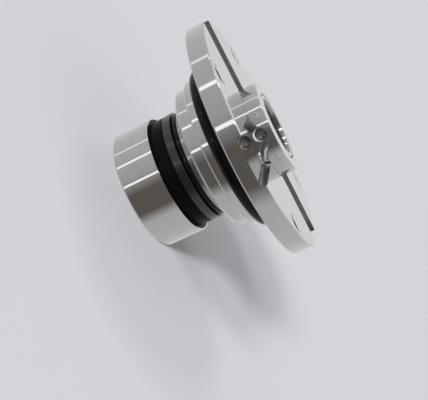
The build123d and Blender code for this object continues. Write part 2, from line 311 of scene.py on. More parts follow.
def cut(piece: bpy.types.Object, cutters: Iterable[bpy.types.Object]) -> None:
    """Takes cutters out of a piece, one after the other, and removes them.

    Args:
        piece: What is cut.
        cutters: What is taken out. The cut walls keep the indices of their materials.
    """
    for cutter in cutters:
        modifier = piece.modifiers.new("Cut", "BOOLEAN")
        modifier.operation = "DIFFERENCE"
        modifier.solver = "EXACT"
        modifier.material_mode = "INDEX"
        modifier.object = cutter
        graph = bpy.context.evaluated_depsgraph_get()
        mesh = bpy.data.meshes.new_from_object(piece.evaluated_get(graph))
        piece.modifiers.remove(modifier)
        piece.data = mesh
        bpy.data.objects.remove(cutter)


def true_normals(piece: bpy.types.Object) -> None:
    """Gives turned faces the normals of a true surface of revolution, and the others smooth or flat ones.

    Args:
        piece: A piece that is round about its own Z.
    """
    mesh = piece.data
    mesh.shade_smooth()
    mesh.set_sharp_from_angle(angle=SHARP)
    normals = [corner.vector.copy() for corner in mesh.corner_normals]
    near = math.cos(ROUND)
    for face in mesh.polygons:
        across = face.normal.xy
        middle = face.center.xy
        if across.length < LEVEL:
            for loop in face.loop_indices:
                normals[loop] = UP * math.copysign(1, face.normal.z)
            continue
        along = across.normalized().dot(middle.normalized()) if middle.length > MERGE else 0
        if abs(along) < near:
            continue
        outwards = math.copysign(across.length, along)
        for loop in face.loop_indices:
            point = mesh.vertices[mesh.loops[loop].vertex_index].co
            side = Vector((point.x, point.y, 0)).normalized()
            normals[loop] = side * outwards + UP * face.normal.z
    mesh.normals_split_custom_set(normals)


def dress(piece: bpy.types.Object, *finishes: "Finish") -> None:
    """Gives a piece its materials, in the order of its slots."""
    piece.data.materials.clear()
    for finish in finishes:
        piece.data.materials.append(finish.material())


def stand_for(piece: bpy.types.Object, node: str) -> bpy.types.Object:
    """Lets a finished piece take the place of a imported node.

    Args:
        piece: The detailed piece.
        node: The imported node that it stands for.

    Returns:
        The piece.
    """
    body = frame["nodes"][node]["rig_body"]
    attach(piece, body)
    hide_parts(node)
    LOG.info("%s stands for %s on %s, %d faces", piece.name, node, body, len(piece.data.polygons))
    return piece


# ------------------------------------------------------------------------------------------------ finishes
class Grain(Enum):
    """Which way the tool marks of a surface run."""

    ROUND = "round"
    ALONG_X = "along x"
    ALONG_Y = "along y"


@dataclass(frozen=True)
class Noise:
    """A noise in space.

    Attributes:
        scale: How many of its patches go into a metre.
        detail: How many finer layers it has.
        rough: How strong they are.
    """

    scale: float
    detail: float
    rough: float = 0.5


class Tree:
    """Node tree of a material or of the world, round its shader.

    Attributes:
        middle: Range that most of a noise's strength lies in.
    """

    middle = (0.3, 0.7)

    def __init__(self, owner: bpy.types.Material | bpy.types.World, shader: str = "Principled BSDF") -> None:
        """Opens the node tree.

        Args:
            owner: The material or the world.
            shader: Name of its shader node.
        """
        owner.use_nodes = True
        self.nodes = owner.node_tree.nodes
        self.links = owner.node_tree.links
        self.shader = self.nodes[shader]

    def set(self, **values: float | tuple) -> None:
        """Sets sockets of the shader by name, with underscores for spaces."""
        for name, value in values.items():
            socket = self.shader.inputs[name.replace("_", " ").title().replace("Ior", "IOR")]
            socket.default_value = (*value, 1.0) if isinstance(value, tuple) and len(value) == 3 else value

    def add(self, kind: str, inputs: dict | None = None, **settings: object) -> bpy.types.Node:
        """Adds a node.

        Args:
            kind: The node's type without its prefix.
            inputs: Values or output sockets, by the name or number of the input.
            **settings: Properties of the node.

        Returns:
            The new node.
        """
        node = self.nodes.new("ShaderNode" + kind)
        for name, value in settings.items():
            setattr(node, name, value)
        for name, value in (inputs or {}).items():
            if isinstance(value, bpy.types.NodeSocket):
                self.links.new(value, node.inputs[name])
            else:
                node.inputs[name].default_value = value
        return node

    def math(self, operation: str, *values: float | bpy.types.NodeSocket) -> bpy.types.NodeSocket:
        """Adds a Math node and returns its result."""
        return self.add("Math", dict(enumerate(values)), operation=operation).outputs[0]

    def link(self, output: bpy.types.NodeSocket, name: str) -> None:
        """Joins an output to a socket of the shader."""
        self.links.new(output, self.shader.inputs[name])

    def span(self, value: bpy.types.NodeSocket, start: float, end: float, low: float = 0.0, high: float = 1.0,
             **settings: object) -> bpy.types.NodeSocket:
        """Maps a value from one range to another.

        Args:
            value: What is mapped.
            start: Where the first range starts.
            end: Where the first range ends.
            low: Where the second range starts.
            high: Where the second range ends.
            **settings: Properties of the node.

        Returns:
            The mapped value.
        """
        inputs = {"Value": value, "From Min": start, "From Max": end, "To Min": low, "To Max": high}
        return self.add("MapRange", inputs, **settings).outputs["Result"]

    def spread(self, value: bpy.types.NodeSocket, low: float = 0.0,
               high: float = 1.0) -> bpy.types.NodeSocket:
        """Maps a noise from its middle range to low and high."""
        return self.span(value, *self.middle, low, high)

    def mix(self, share: bpy.types.NodeSocket, low: object, high: object) -> bpy.types.NodeSocket:
        """Mixes two colours by a share."""
        colors = [(*color, 1) if isinstance(color, tuple) else color for color in (low, high)]
        return self.add("Mix", {0: share, 6: colors[0], 7: colors[1]}, data_type="RGBA").outputs[2]

    def noise(self, place: bpy.types.NodeSocket, kind: Noise) -> bpy.types.NodeSocket:
        """Adds a noise in space and returns its strength."""
        inputs = {"Vector": place, "Scale": kind.scale, "Detail": kind.detail, "Roughness": kind.rough}
        return self.add("TexNoise", inputs).outputs["Fac"]

    def blend(self, first: bpy.types.NodeSocket, much: float, second: bpy.types.NodeSocket,
              more: float) -> bpy.types.NodeSocket:
        """Adds two strengths up, each times its weight."""
        return self.math("ADD", self.math("MULTIPLY", first, much), self.math("MULTIPLY", second, more))

    def marks(self, across: bpy.types.NodeSocket, pitch: float, detail: float) -> bpy.types.NodeSocket:
        """Adds the uneven strength of tool marks that lie a pitch apart."""
        inputs = {"W": self.math("DIVIDE", across, pitch), "Scale": 1.0, "Detail": detail}
        return self.add("TexNoise", inputs, noise_dimensions="1D").outputs["Fac"]

    def across(self, place: bpy.types.NodeSocket, grain: Grain) -> bpy.types.NodeSocket:
        """Measures across the tool marks.

        Args:
            place: Place on the surface.
            grain: Which way the marks run.

        Returns:
            A length that grows from one mark to the next, on flat faces and on walls.
        """
        axes = self.add("SeparateXYZ", {0: place}).outputs
        if grain is not Grain.ROUND:
            return self.math("ADD", axes[1] if grain is Grain.ALONG_X else axes[0], axes[2])
        flat = self.add("CombineXYZ", {0: axes[0], 1: axes[1]}).outputs[0]
        radius = self.add("VectorMath", {0: flat}, operation="LENGTH").outputs["Value"]
        return self.math("ADD", radius, axes[2])

    def relief(self, height: bpy.types.NodeSocket, strength: float, depth: float) -> None:
        """Gives the surface a fine relief."""
        bump = self.add("Bump", {"Height": height, "Strength": strength, "Distance": depth})
        self.link(bump.outputs["Normal"], "Normal")


@dataclass(frozen=True)
class Finish:
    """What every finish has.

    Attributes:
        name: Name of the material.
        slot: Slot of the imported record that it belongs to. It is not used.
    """

    name: str
    slot: str

    def material(self) -> bpy.types.Material:
        """Finds the material, or builds it the first time."""
        name = "finish_" + self.name
        made = bpy.data.materials.get(name)
        if made is None:
            made = bpy.data.materials.new(name)
            self.build(Tree(made))
        return made

    def build(self, tree: Tree) -> None:
        """Builds the node tree."""
        raise NotImplementedError


@dataclass(frozen=True)
class MachinedSteel(Finish):
    """Bright stainless steel with fine tool marks.

    Attributes:
        color: Reflected colour.
        grazing: How much of the grazing reflection it keeps.
        roughness: Mean roughness.
        spread: How much the roughness varies from one mark to the next.
        pitch: Distance of the tool marks.
        depth: Depth of the tool marks.
        pull: How far highlights are drawn out across the marks.
        grain: Which way the marks run.
        broad: How much wider the broad marks are.
        worn: Share of the reflection that the darkest marks keep.
        wear: The patches of wear.
    """

    color: Color = (0.80, 0.80, 0.81)
    grazing: Color = (1.0, 1.0, 1.0)
    roughness: float = 0.16
    spread: float = 0.05
    pitch: float = 0.00022
    depth: float = 0.000002
    pull: float = 0.55
    grain: Grain = Grain.ROUND
    broad: float = 9.0
    worn: float = 0.93
    wear: Noise = Noise(60.0, 4.0, 0.6)

    def build(self, tree: Tree) -> None:
        """Builds marks, patches of wear and the stretched highlight."""
        place = tree.add("TexCoord").outputs["Object"]
        across = tree.across(place, self.grain)
        fine = tree.marks(across, self.pitch, 2.0)
        broad = tree.marks(across, self.pitch * self.broad, 3.0)
        uneven = tree.blend(broad, 0.6, tree.noise(place, self.wear), 0.4)
        roughness = tree.spread(uneven, self.roughness - self.spread, self.roughness + self.spread)
        tree.link(roughness, "Roughness")
        dark = tuple(value * self.worn for value in self.color)
        tree.link(tree.mix(tree.spread(uneven), dark, self.color), "Base Color")
        tree.relief(tree.blend(fine, 0.7, broad, 1.3), 1.0, self.depth)
        if self.grain is Grain.ROUND:
            tangent = tree.add("Tangent", direction_type="RADIAL", axis="Z")
            tree.link(tangent.outputs[0], "Tangent")
        tree.set(metallic=1.0, specular_tint=self.grazing, anisotropic=self.pull, anisotropic_rotation=0.25)


@dataclass(frozen=True)
class SealRubber(Finish):
    """Black moulded rubber with a soft gloss.

    Attributes:
        color: Colour of the rubber.
        roughness: Mean roughness.
        index: Index of refraction, which sets its gloss.
        pale: How much lighter its bloom is.
        bloom: The bloom on its skin.
        skin: The grain that the mould leaves.
        depth: Depth of that grain.
    """

    color: Color = (0.002, 0.002, 0.0022)
    roughness: float = 0.10
    index: float = 1.32
    pale: float = 1.9
    bloom: Noise = Noise(120.0, 4.0, 0.6)
    skin: Noise = Noise(3500.0, 2.0)
    depth: float = 0.000003

    def build(self, tree: Tree) -> None:
        """Builds a faint bloom and the fine grain of the mould."""
        place = tree.add("TexCoord").outputs["Object"]
        bloom = tree.noise(place, self.bloom)
        light = tuple(value * self.pale for value in self.color)
        tree.link(tree.mix(tree.spread(bloom), self.color, light), "Base Color")
        tree.link(tree.spread(bloom, self.roughness - 0.03, self.roughness + 0.05), "Roughness")
        tree.relief(tree.noise(place, self.skin), 0.5, self.depth)
        tree.set(ior=self.index)


@dataclass(frozen=True)
class GroundFace(Finish):
    """Ground seal-face material, with fine marks round the axis.

    Attributes:
        color: Colour of the material.
        roughness: Mean roughness.
        speckle: How much lighter its grains are.
        pitch: Distance of the grinding marks.
        index: Index of refraction, which sets its gloss.
        spread: How much the roughness varies from one mark to the next.
        grains: The grains of the material.
        depth: Depth of marks and grains.
    """

    color: Color = (0.02, 0.02, 0.021)
    roughness: float = 0.45
    speckle: float = 1.6
    pitch: float = 0.00016
    index: float = 1.5
    spread: float = 0.07
    grains: Noise = Noise(2600.0, 3.0, 0.7)
    depth: float = 0.000005

    def build(self, tree: Tree) -> None:
        """Builds the grains and the grinding marks."""
        place = tree.add("TexCoord").outputs["Object"]
        marks = tree.marks(tree.across(place, Grain.ROUND), self.pitch, 3.0)
        grains = tree.noise(place, self.grains)
        light = tuple(value * self.speckle for value in self.color)
        tree.link(tree.mix(tree.spread(grains), self.color, light), "Base Color")
        roughness = tree.spread(marks, self.roughness - self.spread, self.roughness + self.spread)
        tree.link(roughness, "Roughness")
        tree.relief(tree.blend(marks, 0.7, grains, 0.3), 0.5, self.depth)
        tree.set(ior=self.index)


POLISHED = {"spread": 0.02, "depth": 0.0000008}
MILLED = {"roughness": 0.09, "spread": 0.03, "pitch": 0.0005, "depth": 0.000001, "pull": 0.3}
GLAND_STEEL = MachinedSteel("gland_steel", "gland_steel", roughness=0.075, **POLISHED)
MILLED_X = MachinedSteel("channel_steel_x", "gland_steel", grain=Grain.ALONG_X, **MILLED)
MILLED_Y = MachinedSteel("channel_steel_y", "gland_steel", grain=Grain.ALONG_Y, **MILLED)
# Painted shade: the channel walls and the wide channel's round corners get the gland's steel painted darker
# and duller.
SHADED_WALL_STEEL = MachinedSteel("channel_wall_shaded_steel", "gland_steel", (0.46, 0.46, 0.465), (0.5, 0.5, 0.5),
                           roughness=0.22, pitch=0.0004, pull=0.3, grain=Grain.ALONG_X)
DRILLED_STEEL = MachinedSteel("drilled_steel", "gland_steel", (0.55, 0.55, 0.56), roughness=0.30, pull=0.0)
# Painted shade: the nose under the seat gets the gland's steel painted darker.
SHADED_NOSE_STEEL = MachinedSteel("nose_shaded_steel", "gland_steel", (0.48, 0.48, 0.49))
HOLDER_STEEL = MachinedSteel("holder_steel", "holder_steel", (0.81, 0.81, 0.81), roughness=0.07, **POLISHED)
SLEEVE_STEEL = MachinedSteel("sleeve_steel", "sleeve_steel", (0.78, 0.78, 0.79), roughness=0.14)
BORE_STEEL = MachinedSteel("bored_steel", "sleeve_steel", (0.55, 0.55, 0.56), roughness=0.20, pull=0.8)
COLLAR_STEEL = MachinedSteel("collar_steel", "collar_steel", roughness=0.075, **POLISHED)
PIN_STEEL = MachinedSteel("pin_steel", "pin_steel", (0.62, 0.62, 0.64), roughness=0.24)
SPRING_WIRE = MachinedSteel("spring_wire", "spring_wire", (0.60, 0.60, 0.62), roughness=0.22)
CLIP_STEEL = MachinedSteel("clip_steel", "clip_steel", (0.34, 0.34, 0.36), roughness=0.32)
SCREW_STEEL = MachinedSteel("screw_steel", "screw_steel", (0.60, 0.60, 0.61), pull=0.0)
FACE_BLACK = GroundFace("face_black", "face_black", (0.0018, 0.0018, 0.002), roughness=0.36, index=1.16)
SEAT_CERAMIC = GroundFace("seat_ceramic", "seat_ceramic", (0.0035, 0.004, 0.006), roughness=0.17, index=1.78)
BUSH_CARBON = GroundFace("bush_carbon", "bush_carbon", (0.030, 0.030, 0.032), roughness=0.5)
RUBBER = SealRubber("seal_rubber", "seal_rubber")


class PlateSlot(IntEnum):
    """Material slots of the gland plate."""

    TURNED = 0
    FLOOR_X = 1
    FLOOR_Y = 2
    # steel painted darker as shade, on the channel walls and the wide channel's round corners
    WALL = 3
    DRILLED = 4
    # steel painted darker as shade, on the nose under the seat
    NOSE = 5


# ------------------------------------------------------------------------------------------------ gland
@dataclass
class Gland:
    """The flanged gland plate and what it holds.

    Attributes:
        shaft: The sleeve that it surrounds.
        nose_r: Radius of the nose that backs the seat's O-ring.
        register_chamfer: Chamfer at the register's lower end.
        pilot_chamfer: Chamfer at the pilot's lower end.
        rim_chamfer: Chamfer on both rims of the flange.
        pocket_depth: Depth of the collar's pocket below the flange face.
        pocket_gap: Radial room round the collar.
        stop_r: Bore of the wall that the seat stops against.
        narrow: Width of the channel along X.
        wide: Width of the channel along Y.
        wide_shift: How far the middle of the wide channel lies from the axis, towards -X.
        wide_corner: Radius between its floor and its walls.
        channel_depth: Depth of both channels.
        flare: Edge break of the channels.
        bolt_flare: Chamfer at both ends of each bolt hole.
        seat_room: Room behind the seat and round its tail.
        seat_edge: Chamfer on the seat's edges.
        seat_head: Length of the seat's wide head.
        seat_bore: Radius of the seat's bore.
        slot_depth: Depth of the seat's pin slots.
        slot_width: Width of the seat's pin slots.
        pin_seat: How deep each seat pin stands in the gland plate.
        bush_gap: Radial room between bush and sleeve.
        bush_edge: Chamfer on the bush's upper edges.
    """

    shaft: ShaftParts
    nose_r: float = 0.03375
    register_chamfer: float = 0.0015
    pilot_chamfer: float = 0.0008
    rim_chamfer: float = 0.0007
    pocket_depth: float = 0.006
    pocket_gap: float = 0.0006
    stop_r: float = 0.024
    narrow: float = 0.023
    wide: float = 0.0298
    wide_shift: float = 0.002
    wide_corner: float = 0.0026
    channel_depth: float = 0.0033
    flare: float = 0.00025
    bolt_flare: float = 0.0011
    seat_room: float = 0.0003
    seat_edge: float = 0.0003
    seat_head: float = 0.0053
    seat_bore: float = 0.0235
    slot_depth: float = 0.0027
    slot_width: float = 0.0034
    pin_seat: float = 0.00323
    bush_gap: float = 0.0004
    bush_edge: float = 0.0005
    plate: Place = field(default_factory=lambda: Place.of("gland_plate"))
    ring: Place = field(default_factory=lambda: Place.of("gland_o_ring"))
    seat: Place = field(default_factory=lambda: Place.of("stationary_seat"))
    seat_ring: Place = field(default_factory=lambda: Place.of("seat_o_ring"))
    bush: Place = field(default_factory=lambda: Place.of("throttle_bush"))
    clip: Place = field(default_factory=lambda: Place.of("bush_clip"))
    collar: Place = field(default_factory=lambda: Place.of("drive_collar"))

    @property
    def tail_r(self) -> float:
        """Outer radius of the seat's tail."""
        return self.seat_ring.radius - self.seat_ring.height - RING_GAP

    def section(self) -> list[Point]:
        """Half section of the gland plate.

        Returns:
            Corners as radius and height.
        """
        register, pilot, bolts = mount("register"), mount("pilot"), mount("gland_bolts")
        register_r = register["dims"]["r_mm"] / 1000
        pilot_r = pilot["dims"]["r_mm"] / 1000
        z_pilot = register["pos_m"][2] + register["dims"]["length_mm"] / 2000
        z_register = z_pilot - register["dims"]["length_mm"] / 1000 - self.register_chamfer
        z_bed, z_bed_end = self.ring.low.z - RING_GAP, self.ring.high.z + RING_GAP
        bed_r = self.ring.radius - self.ring.height - RING_GAP
        z_back, z_front, rim = bolts["pos_m"][2], self.plate.high.z, self.plate.radius
        pocket_r, z_pocket = self.collar.radius + self.pocket_gap, z_front - self.pocket_depth
        bush_r, clip_r = self.bush.radius + SNUG, self.clip.radius + SNUG
        z_clip, z_clip_end = self.clip.low.z - PLAY, self.clip.high.z + PLAY
        z_stop, z_bush = self.seat.high.z + self.seat_room, self.bush.low.z - PLAY
        return [
            (self.tail_r + self.seat_room, self.plate.low.z),
            (self.nose_r, self.plate.low.z),
            (self.nose_r, z_register),
            (register_r - self.register_chamfer, z_register),
            (register_r, z_register + self.register_chamfer),
            (register_r, z_pilot),
            (pilot_r - self.pilot_chamfer, z_pilot),
            (pilot_r, z_pilot + self.pilot_chamfer),
            (pilot_r, z_bed),
            (bed_r, z_bed),
            (bed_r, z_bed_end),
            (pilot_r, z_bed_end),
            (pilot_r, z_back),
            (rim - self.rim_chamfer, z_back),
            (rim, z_back + self.rim_chamfer),
            (rim, z_front - self.rim_chamfer),
            (rim - self.rim_chamfer, z_front),
            (pocket_r, z_front),
            (pocket_r, z_pocket),
            (bush_r, z_pocket),
            (bush_r, z_clip_end),
            (clip_r, z_clip_end),
            (clip_r, z_clip),
            (bush_r, z_clip),
            (bush_r, z_bush),
            (self.stop_r, z_bush),
            (self.stop_r, z_stop),
            (self.tail_r + self.seat_room, z_stop),
        ]

    def channel(self, width: float, corner: float, shift: float, slot: PlateSlot) -> bpy.types.Object:
        """Cutter of one channel across the flange along X, with broken edges.

        Args:
            width: Width of the channel.
            corner: Radius between its floor and its walls.
            shift: How far its middle lies from the axis, towards Y.
            slot: Material that its faces get.

        Returns:
            The cutter.
        """
        top, floor_z = self.plate.high.z, self.plate.high.z - self.channel_depth
        reach, half = self.plate.radius * 1.2, width / 2
        side = []
        for step in range(CORNER_STEPS + 1):
            bend = math.pi / 2 * step / CORNER_STEPS
            side.append((half - corner * (1 - math.sin(bend)), floor_z + corner * (1 - math.cos(bend))))
        side += [(half, top - self.flare), (half + self.flare + DEEP, top + DEEP)]
        profile = [(-y, z) for y, z in reversed(side)] + side
        made = bmesh.new()
        ends = [[made.verts.new((end * reach, y + shift, z)) for y, z in profile] for end in (-1, 1)]
        made.faces.new(ends[0][::-1])
        made.faces.new(ends[1])
        for index in range(len(profile)):
            face = made.faces.new((ends[0][index - 1], ends[0][index], ends[1][index], ends[1][index - 1]))
            face.material_index = slot
        bmesh.ops.remove_doubles(made, verts=made.verts, dist=MERGE)
        return as_piece("cutter", made)

    def bolt_hole(self, turn: float) -> bpy.types.Object:
        """Cutter of one chamfered bolt hole.

        Args:
            turn: Its direction from X, in radians.

        Returns:
            The cutter.
        """
        bolts = mount("gland_bolts")
        circle_r, radius = bolts["dims"]["pcd_mm"] / 2000, bolts["dims"]["hole_r_mm"] / 1000
        low, high, wide = bolts["pos_m"][2], self.plate.high.z, radius + self.bolt_flare
        outline = [
            (0, low - PAST),
            (wide, low - PAST),
            (wide, low),
            (radius, low + self.bolt_flare),
            (radius, high - self.bolt_flare),
            (wide, high),
            (wide, high + PAST),
            (0, high + PAST),
        ]
        centre = Vector((circle_r * math.cos(turn), circle_r * math.sin(turn), 0))
        return drill(centre, outline, PlateSlot.DRILLED)

    def sort_milled(self, piece: bpy.types.Object) -> None:
        """Gives the channels' walls, the wide channel's round corners and the nose the gland's steel painted
        darker as shade.
        """
        register = mount("register")
        register_z = register["pos_m"][2] - register["dims"]["length_mm"] / 2000
        for face in piece.data.polygons:
            upright = abs(face.normal.z)
            if face.material_index == PlateSlot.FLOOR_X and upright < WALL_SLOPE:
                face.material_index = PlateSlot.WALL
            elif face.material_index == PlateSlot.FLOOR_Y and CURVED[0] < upright < CURVED[1]:
                face.material_index = PlateSlot.WALL
            elif face.center.xy.length < self.nose_r + MERGE and face.center.z < register_z:
                face.material_index = PlateSlot.NOSE

    def build_plate(self) -> None:
        """Turns the gland plate, mills its channels and drills its holes."""
        piece = turned("flanged_gland", broken(self.section()))
        dress(piece, GLAND_STEEL, MILLED_X, MILLED_Y, SHADED_WALL_STEEL, DRILLED_STEEL, SHADED_NOSE_STEEL)
        wide = self.channel(self.wide, self.wide_corner, self.wide_shift, PlateSlot.FLOOR_Y)
        wide.data.transform(Matrix.Rotation(math.pi / 2, 4, "Z"))
        cut(piece, [wide, self.channel(self.narrow, self.flare, 0.0, PlateSlot.FLOOR_X)])
        self.sort_milled(piece)
        count = mount("gland_bolts")["dims"]["count"]
        holes = [self.bolt_hole(2 * math.pi * (number + 0.5) / count) for number in range(count)]
        base = self.seat.high.z
        for name in ("seat_pin_1", "seat_pin_2"):
            holes.append(pin_hole(Place.of(name), base, base + self.seat_room + self.pin_seat))
        cut(piece, holes)
        for face in piece.data.polygons:
            if face.material_index == PlateSlot.DRILLED and abs(face.normal.z) > WALL_SLOPE:
                face.material_index = PlateSlot.TURNED
        true_normals(piece)
        stand_for(piece, "gland_plate")

    def build_seat(self) -> None:
        """Turns the stationary seat and grinds its pin slots."""
        low, high, edge, tail = self.seat.low.z, self.seat.high.z, self.seat_edge, self.tail_r
        out, shoulder = self.seat.radius, self.seat.low.z + self.seat_head
        outline = [
            (self.seat_bore, low),
            (out - edge, low),
            (out, low + edge),
            (out, shoulder - edge),
            (out - edge, shoulder),
            (tail, shoulder),
            (tail, high - edge),
            (tail - edge, high),
            (self.seat_bore, high),
        ]
        piece = turned("seat_ring", broken(outline, GROUND_BREAK))
        dress(piece, SEAT_CERAMIC)
        cut(piece, [self.pin_slot(side) for side in (0, math.pi)])
        true_normals(piece)
        stand_for(piece, "stationary_seat")

    def pin_slot(self, turn: float) -> bpy.types.Object:
        """Cutter of one pin slot in the seat's tail, with round ends.

        Args:
            turn: Its direction from X, in radians.

        Returns:
            The cutter.
        """
        middle, half = (self.seat_bore + self.tail_r) / 2, self.slot_width / 2
        reach = (self.tail_r - self.seat_bore) / 2
        section = []
        for end in (1, -1):
            for step in range(SLOT_STEPS + 1):
                bend = math.pi * (step / SLOT_STEPS - 0.5) + (0 if end > 0 else math.pi)
                section.append((middle + end * reach + half * math.cos(bend), half * math.sin(bend)))
        cutter = prism(section, self.seat.high.z - self.slot_depth, self.seat.high.z + DEEP)
        cutter.data.transform(Matrix.Rotation(turn, 4, "Z"))
        return cutter

    def build_bush(self) -> None:
        """Turns the throttle bush."""
        inner, edge = self.shaft.outside + self.bush_gap, self.bush_edge
        low, high, out = self.bush.low.z, self.bush.high.z, self.bush.radius
        outline = [
            (inner, low),
            (out, low),
            (out, high - edge),
            (out - edge, high),
            (inner + edge, high),
            (inner, high - edge),
        ]
        piece = turned("throttle_ring", broken(outline, FINE_BREAK))
        dress(piece, BUSH_CARBON)
        true_normals(piece)
        stand_for(piece, "throttle_bush")

    def build(self) -> None:
        """Builds the gland and all that it holds."""
        self.build_plate()
        self.build_seat()
        self.build_bush()
        build_ring("gland_o_ring", "spigot_sealing_ring")
        build_ring("seat_o_ring", "seat_sealing_ring")
        keep("seat_pin_1", PIN_STEEL)
        keep("seat_pin_2", PIN_STEEL)
        keep("bush_clip", CLIP_STEEL)


def build_ring(node: str, name: str) -> None:
    """Makes a moulded O-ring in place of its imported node.

    Args:
        node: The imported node.
        name: Name of the new piece.
    """
    place = Place.of(node)
    section = place.height
    piece = turned(name, circle(place.radius - section / 2, place.centre.z, section))
    dress(piece, RUBBER)
    stand_for(piece, node)


def keep(node: str, finish: Finish) -> None:
    """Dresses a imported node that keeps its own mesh.

    Args:
        node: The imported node.
        finish: Its finish.
    """
    piece = frame["nodes"][node]
    for index in range(len(piece.material_slots)):
        piece.material_slots[index].material = finish.material()
    LOG.info("%s keeps its mesh, in %s", node, finish.name)


# ------------------------------------------------------------------------------------------------ rotor
@dataclass
class ShaftParts:
    """The sleeve, the face holder and what turns with them.

    Attributes:
        springs: Number of springs.
        pins: Number of drive pins.
        dowels: Number of dowels between sleeve and holder.
        wall: Wall of the sleeve.
        foot_len: Length of the sleeve's foot.
        clip_depth: Depth of the retaining ring in the sleeve.
        lead: Length of the taper that leads the shaft into the bore.
        lead_depth: How much wider its mouth is.
        lip: Wall of the holder round the rotary face.
        hub_r: Radius of the holder's hub.
        hub_rise: How far the hub stands above the holder's mouth.
        floor_z: Floor of the holder's cavity.
        holder_chamfer: Chamfer at the holder's lower rim.
        spring_room: Radial room of each spring in its bore.
        dowel_lap: How far a dowel's hole in the holder reaches below the foot's top.
        wire: Diameter of the spring wire.
        coils: Number of coils of a spring, with the closed one at each end.
        closing: Rise of a closed coil, as a share of the wire.
    """

    springs: int = 6
    pins: int = 3
    dowels: int = 2
    wall: float = 0.003
    foot_len: float = 0.005
    clip_depth: float = 0.0014
    lead: float = 0.002
    lead_depth: float = 0.00055
    lip: float = 0.0009
    hub_r: float = 0.0253
    hub_rise: float = 0.0016
    floor_z: float = 0.0095
    holder_chamfer: float = 0.0008
    spring_room: float = 0.0003
    dowel_lap: float = 0.0005
    wire: float = 0.001
    coils: float = 6.0
    closing: float = 0.55
    sleeve: Place = field(default_factory=lambda: Place.of("shaft_sleeve"))
    holder: Place = field(default_factory=lambda: Place.of("face_holder"))
    clip: Place = field(default_factory=lambda: Place.of("collar_clip"))

    @property
    def bore(self) -> float:
        """Radius of the sleeve's bore."""
        return mount("shaft_bore")["dims"]["r_mm"] / 1000

    @property
    def outside(self) -> float:
        """Outer radius of the sleeve."""
        return self.bore + self.wall

    @property
    def mouth(self) -> float:
        """Height of the holder's mouth."""
        return self.holder.high.z - self.hub_rise

    def build_sleeve(self) -> None:
        """Turns the sleeve and drills it for dowels and set screws."""
        low, high, foot = self.sleeve.low.z, self.sleeve.high.z, self.sleeve.radius
        ring = Place.of("shaft_o_ring")
        bed, bed_low, bed_high = ring.radius + RING_GAP, ring.low.z - RING_GAP, ring.high.z + RING_GAP
        clip_bed = self.outside - self.clip_depth
        outline = [
            (self.bore, low),
            (foot, low),
            (foot, low + self.foot_len),
            (self.outside, low + self.foot_len),
            (self.outside, self.clip.low.z - PLAY),
            (clip_bed, self.clip.low.z - PLAY),
            (clip_bed, self.clip.high.z + PLAY),
            (self.outside, self.clip.high.z + PLAY),
            (self.outside, high),
            (self.bore + self.lead_depth, high),
            (self.bore, high - self.lead),
            (self.bore, bed_high),
            (bed, bed_high),
            (bed, bed_low),
            (self.bore, bed_low),
        ]
        piece = turned("sleeve_tube", broken(outline))
        dress(piece, SLEEVE_STEEL, BORE_STEEL)
        for face in piece.data.polygons:
            if face.center.xy.length < self.bore + self.lead_depth:
                face.material_index = 1
        holes = []
        for number in range(self.dowels):
            pin = Place.of(f"drive_dowel_{number + 1}")
            holes.append(pin_hole(pin, pin.low.z, low + self.foot_len + DEEP))
        for screw in screws():
            cutter = rod(Vector((0, 0, 0)), screw.hole_r, self.bore * 0.7, self.outside * 1.3)
            cutter.data.transform(screw.placement)
            holes.append(cutter)
        cut(piece, holes)
        true_normals(piece)
        stand_for(piece, "shaft_sleeve")

    def build_holder(self) -> None:
        """Turns the face holder and drills it for springs, pins and dowels."""
        out, top, mouth = self.holder.radius, self.holder.high.z, self.mouth
        foot, foot_top = self.sleeve.radius + SNUG, self.sleeve.low.z + self.foot_len + SNUG
        outline = [
            (foot, 0),
            (out - self.holder_chamfer, 0),
            (out, self.holder_chamfer),
            (out, mouth),
            (out - self.lip, mouth),
            (out - self.lip, self.floor_z),
            (self.hub_r, self.floor_z),
            (self.hub_r, top),
            (self.outside + SNUG, top),
            (self.outside + SNUG, foot_top),
            (foot, foot_top),
        ]
        piece = turned("holder_cup", broken(outline))
        dress(piece, HOLDER_STEEL)
        holes = []
        for number in range(self.springs):
            spring = Place.of(f"spring_{number + 1}")
            holes.append(pin_hole(spring, spring.low.z, self.floor_z + DEEP, self.spring_room))
        for number in range(self.pins):
            pin = Place.of(f"drive_pin_{number + 1}")
            holes.append(pin_hole(pin, pin.low.z, self.floor_z + DEEP))
        for number in range(self.dowels):
            pin = Place.of(f"drive_dowel_{number + 1}")
            holes.append(pin_hole(pin, self.sleeve.low.z + self.foot_len - self.dowel_lap, pin.high.z + SNUG))
        cut(piece, holes)
        true_normals(piece)
        stand_for(piece, "face_holder")

